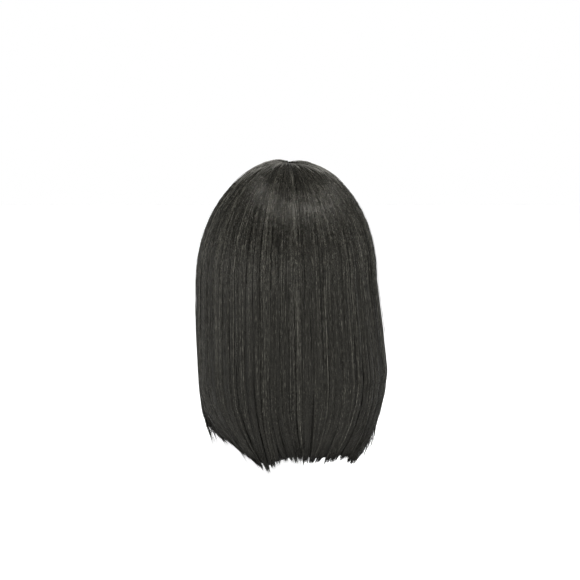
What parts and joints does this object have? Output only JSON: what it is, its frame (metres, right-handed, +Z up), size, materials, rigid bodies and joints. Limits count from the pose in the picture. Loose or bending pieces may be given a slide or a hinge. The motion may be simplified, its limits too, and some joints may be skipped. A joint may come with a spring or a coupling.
{
  "type": "bob wig",
  "caption": "Straight bob wig with a centre parting: curtains of hair on a thin cap, open at the face and neck, with ends that part over the shoulders.",
  "frame": {"origin": "inside of the cap at the top of the head, where the wearer's head touches it", "axes": "+Z up, -Y the way the wearer faces, +X to the wearer's left"},
  "size_m": [0.2292, 0.2027, 0.3463],
  "materials": {
    "hair": "soft sheen along the strands",
    "under_hair": "soft sheen, in shade",
    "cap": "matt knitted net"
  },
  "bodies": {
    "root": {"cap": "cap", "under_hair": "under_hair", "back_hair": "hair", "left_side_hair": "hair", "left_front_hair": "hair", "right_side_hair": "hair", "right_front_hair": "hair"}
  },
  "joints": []
}
